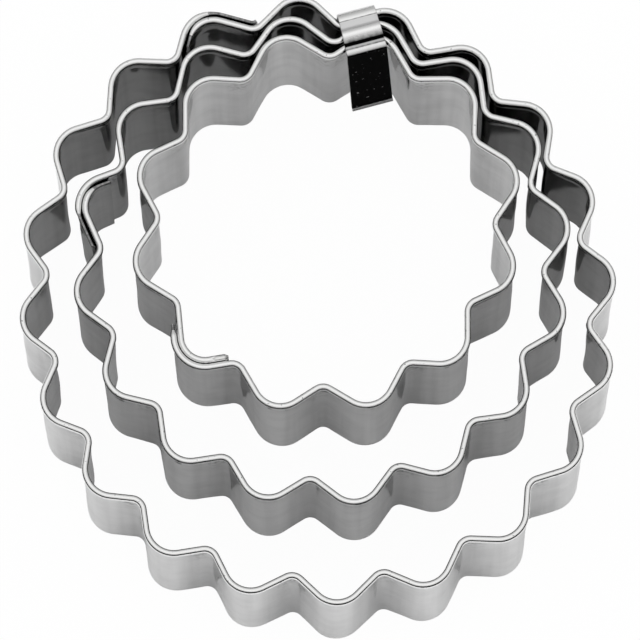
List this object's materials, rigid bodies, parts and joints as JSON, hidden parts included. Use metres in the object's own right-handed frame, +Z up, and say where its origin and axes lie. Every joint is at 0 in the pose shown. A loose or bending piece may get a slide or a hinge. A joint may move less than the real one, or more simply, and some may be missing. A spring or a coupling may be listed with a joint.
{
  "type": "fluted cutter set",
  "caption": "Nested set of round fluted pastry cutters in thin tinplate with hemmed rims, held together by a small spring clip.",
  "frame": {"origin": "middle of the large cutter, on the plane of the cutting edges", "axes": "+Z up from the cutting edges to the rims; +Y towards the side where the rims meet under the clip; +X to the right"},
  "size_m": [0.0588, 0.061, 0.0249],
  "materials": {
    "tinplate": "satin tinplate with a bright rim",
    "spring_strip": "bright spring strip with a glossy black front leg"
  },
  "bodies": {
    "large_cutter": {"large_cutter": "tinplate"},
    "middle_cutter": {"middle_cutter": "tinplate"},
    "small_cutter": {"small_cutter": "tinplate"},
    "storage_clip": {"storage_clip": "spring_strip"}
  },
  "joints": [
    {"name": "middle_lift", "type": "slide", "parent": "large_cutter", "child": "middle_cutter", "axis": [0, 0, 1], "range_m": [0, 0.03]},
    {"name": "small_lift", "type": "slide", "parent": "middle_cutter", "child": "small_cutter", "axis": [0, 0, 1], "range_m": [0, 0.03]},
    {"name": "clip_lift", "type": "slide", "parent": "small_cutter", "child": "storage_clip", "axis": [0, 0, 1], "range_m": [0, 0.025]}
  ]
}
